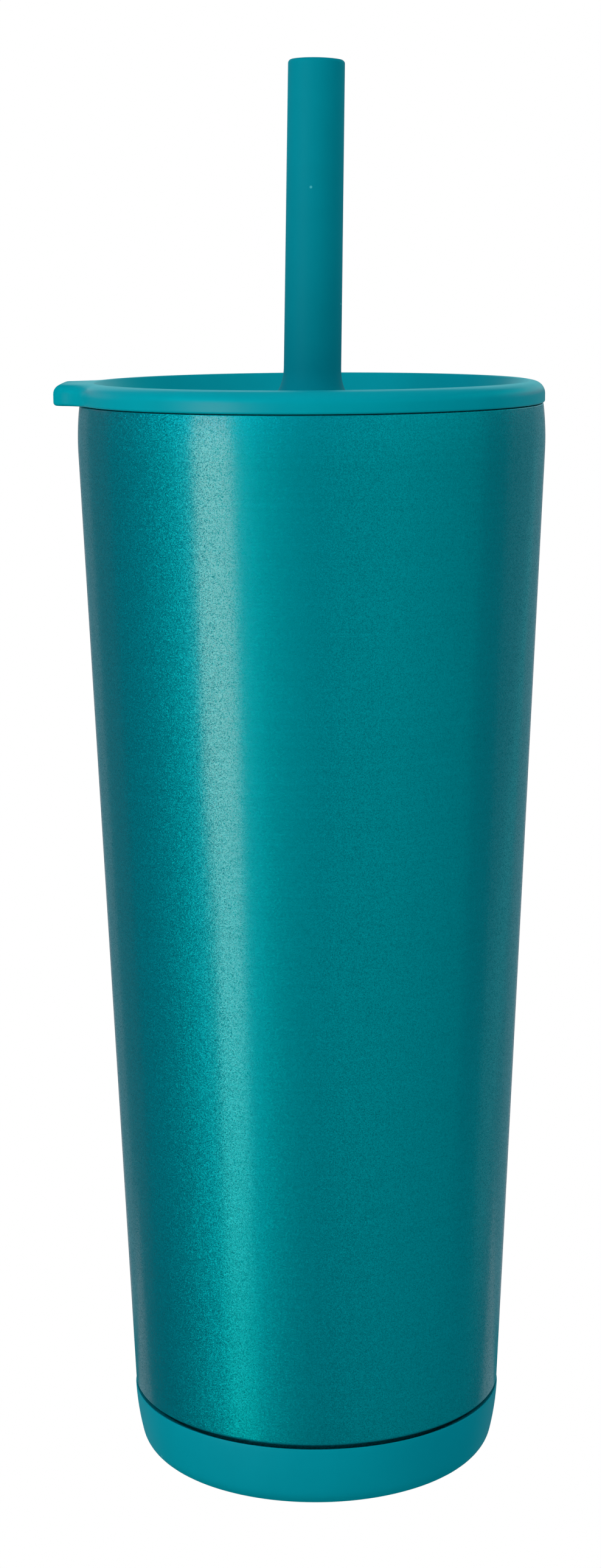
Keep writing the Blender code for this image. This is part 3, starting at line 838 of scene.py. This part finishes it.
# Softboxes: azimuth from and to, elevation from and to, all in degrees, then red, green and blue radiance.
# Azimuth 0 is the camera's side and 90 is +X. The ones named key make the long highlight, back and rim make
# the dull edges of the cup and the lid, and the rest fill in between. They are tinted, light only the teal
# pieces, and have radiances fitted to how the tumbler looks in the photograph.
SOFTBOXES = {
    "key": (-57, -37.5, -14, 10, 3.45, 2.88, 2.20),
    "key_high": (-57, -39, 10, 24, 3.0, 0.70, 0.35),
    "key_mid": (-53, -37.5, -20, -14, 2.15, 3.25, 2.95),
    "key_mid_low": (-53, -37, -26, -20, 0.45, 3.25, 2.95),
    "key_low": (-57, -35, -42, -26, 0.0, 1.40, 1.08),
    "key_low_core": (-51, -43, -36, -26, 0.02, 0.24, 0.18),
    "glow_left": (-68, -58, -26, 24, 0.0, 0.30, 0.50),
    "glow": (-38, -26, -26, 24, 0.0, 0.60, 0.74),
    "band_left": (-80, -26, 24, 45, 0.0, 3.38, 3.54),
    "band_front": (-26, 30, 24, 45, 0.0, 0.55, 0.75),
    "left": (-115, -68, -26, 45, 0.0, 0.14, 0.16),
    "side_left": (-150, -115, -26, 45, 0.04, 0.04, 0.04),
    "front": (-26, 10, -26, 24, 0.0, 0.235, 0.225),
    "right": (10, 50, -26, 24, 0.0, 0.44, 0.40),
    "right_far": (50, 90, -26, 24, 0.0, 0.33, 0.31),
    "right_high": (30, 150, 24, 45, 0.01, 1.02, 0.98),
    "low": (-26, 150, -42, -26, 0.0, 0.19, 0.19),
    "side_right": (110, 140, -26, 24, 0.07, 0.09, 0.09),
    "rim_left": (-158, -118, 10, 26, 0.38, 0.03, 0.03),
    "rim_right": (120, 155, 10, 26, 0.50, 0.05, 0.05),
    "back": (162, 198, -26, 10, 0.34, 0.18, 0.17),
    "back_low": (132, 228, -42, -30, 0.28, 0.20, 0.19),
    "back_right": (140, 162, -26, 10, 0.13, 0.10, 0.10),
    "back_left": (198, 220, -26, 10, 0.13, 0.10, 0.10),
    "back_high": (150, 210, 10, 45, 0.40, 0.80, 0.80),
}
TOP = (0.06, 0.32, 0.31)
BELOW = (0.0, 0.15, 0.13)
SURROUND = (0.0, 0.173, 0.22)
TOP_HEIGHT = 1.1
BELOW_HEIGHT = -0.7
PANEL = 1.6
FLOOR_SIZE = 30.0
WHITE = (1.0, 1.0, 1.0)

# The bare steel and the frosted gasket are lit by neutral softboxes of their own, laid out in the same way.
NEUTRAL_BOXES = {
    "plain_left": (-80, -20, -20, 45, 1.5, 1.5, 1.5),
    "plain_right": (20, 110, -10, 45, 0.8, 0.8, 0.8),
    "plain_back": (140, 220, -10, 45, 0.6, 0.6, 0.6),
}
NEUTRAL_TOP = (2.2, 2.2, 2.2)


def area_light(name, place, toward, width, height, radiance, lit):
    """A rectangular light that the camera doesn't see, and that lights only one group of pieces."""
    level = max(radiance)
    data = bpy.data.lights.new(name, "AREA")
    data.shape = "RECTANGLE"
    data.size = width
    data.size_y = height
    data.energy = level * math.pi * width * height
    data.color = [part / level for part in radiance]
    light = bpy.data.objects.new(name, data)
    light.location = place
    light.rotation_euler = toward.to_track_quat("-Z", "Y").to_euler()
    light.visible_camera = False
    light.light_linking.receiver_collection = lit
    bpy.context.scene.collection.objects.link(light)


def softboxes(boxes, lit):
    """Lights for a table of softboxes, each as wide and high as its angles say."""
    for name, (left, right, low, high, *radiance) in boxes.items():
        azimuth = math.radians((left + right) / 2.0)
        elevation = math.radians((low + high) / 2.0)
        level = math.cos(elevation)
        out = Vector((level * math.sin(azimuth), -level * math.cos(azimuth), math.sin(elevation)))
        width = 2.0 * REACH * math.tan(math.radians(right - left) / 2.0) * level
        height = 2.0 * REACH * math.tan(math.radians(high - low) / 2.0)
        area_light(name, AIM + out * REACH, -out, width, height, radiance, lit)


def light_group(name, pieces):
    """A collection outside the scene that says which pieces a light reaches."""
    group = bpy.data.collections.new(name)
    for piece in pieces:
        group.objects.link(piece)
    return group


def make_lights(tinted, plain):
    """Tinted lights for one group of pieces, and neutral ones for the other."""
    tinted_group = light_group("lit_tinted", tinted)
    plain_group = light_group("lit_plain", plain)
    down = Vector((0.0, 0.0, -1.0))
    high = Vector((0.0, 0.0, TOP_HEIGHT))
    low = Vector((0.0, 0.0, BELOW_HEIGHT))
    softboxes(SOFTBOXES, tinted_group)
    area_light("top", high, down, PANEL, PANEL, TOP, tinted_group)
    area_light("below", low, -down, PANEL, PANEL, BELOW, tinted_group)
    softboxes(NEUTRAL_BOXES, plain_group)
    area_light("plain_top", high, down, PANEL, PANEL, NEUTRAL_TOP, plain_group)


def make_floor():
    """A plain white floor, which gives the tumbler no light and takes no shadow from it."""
    bpy.ops.mesh.primitive_plane_add(size=FLOOR_SIZE)
    floor = bpy.context.object
    floor.name = "floor"
    m = Nodes("floor_white")
    white = m.add("Emission", {"Color": colour(*WHITE), "Strength": 1.0})
    m.put(m.tree.nodes["Material Output"].inputs["Surface"], white.outputs[0])
    floor.data.materials.append(m.material)
    floor.visible_glossy = False
    floor.visible_diffuse = False
    floor.visible_shadow = False


def make_world():
    """White to the camera, and a dim teal to everything else."""
    world = bpy.data.worlds.new("studio")
    bpy.context.scene.world = world
    world.use_nodes = True
    tree = world.node_tree
    tree.nodes.clear()
    path = tree.nodes.new("ShaderNodeLightPath")
    mix = tree.nodes.new("ShaderNodeMixShader")
    out = tree.nodes.new("ShaderNodeOutputWorld")
    tree.links.new(path.outputs["Is Camera Ray"], mix.inputs[0])
    for socket, tint in ((mix.inputs[1], SURROUND), (mix.inputs[2], WHITE)):
        background = tree.nodes.new("ShaderNodeBackground")
        background.inputs["Color"].default_value = colour(*tint)
        background.inputs["Strength"].default_value = 1.0
        tree.links.new(background.outputs[0], socket)
    tree.links.new(mix.outputs[0], out.inputs["Surface"])


# ---------------------------------------------------------------- pieces

def dress(piece, finish, body, slot, *nodes):
    """Gives a piece its material and body, and hides the CAD nodes that it stands for."""
    piece.data.materials.clear()
    piece.data.materials.append(finish)
    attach(piece, body)
    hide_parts(*nodes)


def finish_cad_node(name, finish):
    """Puts a procedural material on a CAD node that stays."""
    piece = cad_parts[name]
    piece.data.materials.clear()
    piece.data.materials.append(finish)


def build_cup():
    """The cup's pieces: those that the tinted lights light, and those that the plain lights light."""
    shell, liner, boot = make_shell(), make_liner(), make_boot()
    boot_finish = silicone("boot_silicone", BOOT_TEAL, rough=0.5, specular=0.15)
    dress(shell, paint(), "cup", "painted_steel", "outer_shell")
    dress(liner, steel("liner_steel", RINGS, rough=0.3), "cup", "bare_steel", "inner_liner")
    dress(boot, boot_finish, "cup", "boot_silicone", "base_boot")
    plain = steel("plain_steel", (GRAIN, GRAIN, GRAIN), rough=0.34)
    inner_finishes = {
        "outer_base": plain,
        "getter_strap": plain,
        "seal_cover_disc": plain,
        "radiation_foil": rough_metal("foil", FOIL_COPPER, rough=0.3, metallic=1.0, scale=260.0),
        "getter_pellet": rough_metal("getter", GETTER_GREY, rough=0.75, metallic=0.3, scale=2400.0),
        "vacuum_seal_bead": rough_metal("solder", SOLDER_GREY, rough=0.35, metallic=1.0, scale=1200.0),
        "boot_adhesive": plastic("adhesive", ADHESIVE_CREAM, rough=0.6),
    }
    for name, finish in inner_finishes.items():
        finish_cad_node(name, finish)
    return [shell, boot], [liner] + [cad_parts[name] for name in inner_finishes]


def build_lid():
    """The lid's pieces, by their lights as in build_cup."""
    cover, plug, gasket = make_cover(), make_plug(), make_gasket()
    cover_finish = silicone("lid_silicone", LID_TEAL, rough=0.34, specular=0.25, matt=TAB_MATT)
    plug_finish = plastic("plug_plastic", PLUG_TEAL, rough=0.35)
    gasket_finish = silicone("gasket_silicone", FROSTED, rough=0.45, specular=0.4)
    dress(cover, cover_finish, "lid", "lid_silicone", "lid_cover")
    dress(plug, plug_finish, "lid", "clear_plastic", "lid_insert")
    dress(gasket, gasket_finish, "lid", "gasket_silicone", "lid_gasket")
    return [cover, plug], [gasket]


def build_straw():
    """The straw's pieces, by their lights as in build_cup."""
    spout, tube = make_spout(), make_tube()
    cut_notches(tube)
    # The spout's tone carries a painted shade, darker near the lid and paler towards the tip.
    spout_finish = silicone(
        "spout_silicone", SPOUT_TEAL, rough=0.6, specular=0.1, speck_share=0.07, rise=SPOUT_PAINTED_SHADE
    )
    tube_finish = plastic("tube_plastic", TUBE_TEAL, rough=0.25)
    dress(spout, spout_finish, "straw", "spout_silicone", "straw_spout")
    dress(tube, tube_finish, "straw", "clear_plastic", "straw_tube")
    return [spout, tube], []


bpy.context.scene.view_settings.view_transform = "Standard"
make_camera()
make_world()
make_floor()
tinted_pieces, plain_pieces = [], []
for build in (build_cup, build_lid, build_straw):
    tinted_part, plain_part = build()
    tinted_pieces += tinted_part
    plain_pieces += plain_part
make_lights(tinted_pieces, plain_pieces)
